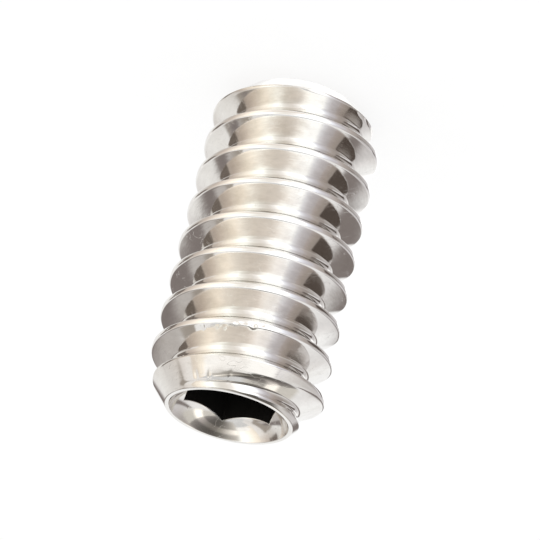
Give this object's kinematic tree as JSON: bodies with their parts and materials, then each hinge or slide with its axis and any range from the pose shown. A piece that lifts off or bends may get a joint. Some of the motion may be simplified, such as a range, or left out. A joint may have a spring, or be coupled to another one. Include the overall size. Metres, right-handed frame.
{
  "type": "grub set screw",
  "caption": "Headless fully threaded screw with a hexagon socket in one chamfered end and a flat chamfered point on the other.",
  "frame": {"origin": "the middle of the flat face at the point, on the screw's axis", "axes": "+Z along the screw's axis from the point to the socket; -Y is the side that the camera sees"},
  "size_m": [0.0048, 0.0048, 0.0095],
  "materials": {
    "polished_steel": "bright polished stainless steel, with fine turning lines and small handling marks"
  },
  "bodies": {
    "root": {"set_screw": "polished_steel"}
  },
  "joints": []
}
